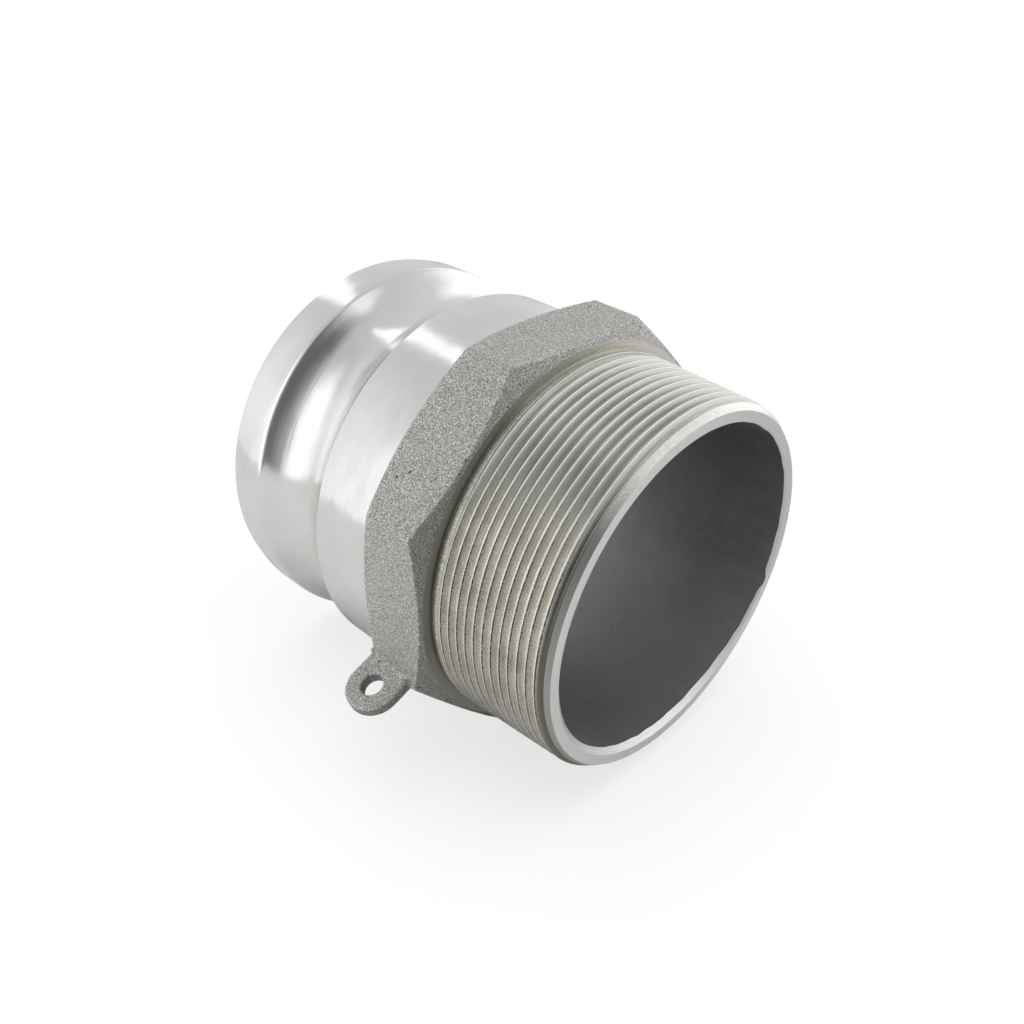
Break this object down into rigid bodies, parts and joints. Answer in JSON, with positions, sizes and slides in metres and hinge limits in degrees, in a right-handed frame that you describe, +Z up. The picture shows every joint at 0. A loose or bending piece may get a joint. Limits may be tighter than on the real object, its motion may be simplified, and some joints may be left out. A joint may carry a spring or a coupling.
{
  "type": "cam and groove adapter with male pipe thread",
  "caption": "Cast aluminium cam and groove adapter: grooved spigot, eight-sided wrench collar with a chain lug, and a male taper pipe thread.",
  "frame": {"origin": "middle of the collar flat that the part lies on", "axes": "+X along the waterway towards the pipe thread's end, +Z up; the chain lug is on the -Y side"},
  "size_m": [0.0983, 0.1044, 0.094],
  "materials": {
    "aluminium": "sand cast, with turned spigot, thread and faces"
  },
  "bodies": {
    "root": {"adapter": "aluminium"}
  },
  "joints": []
}
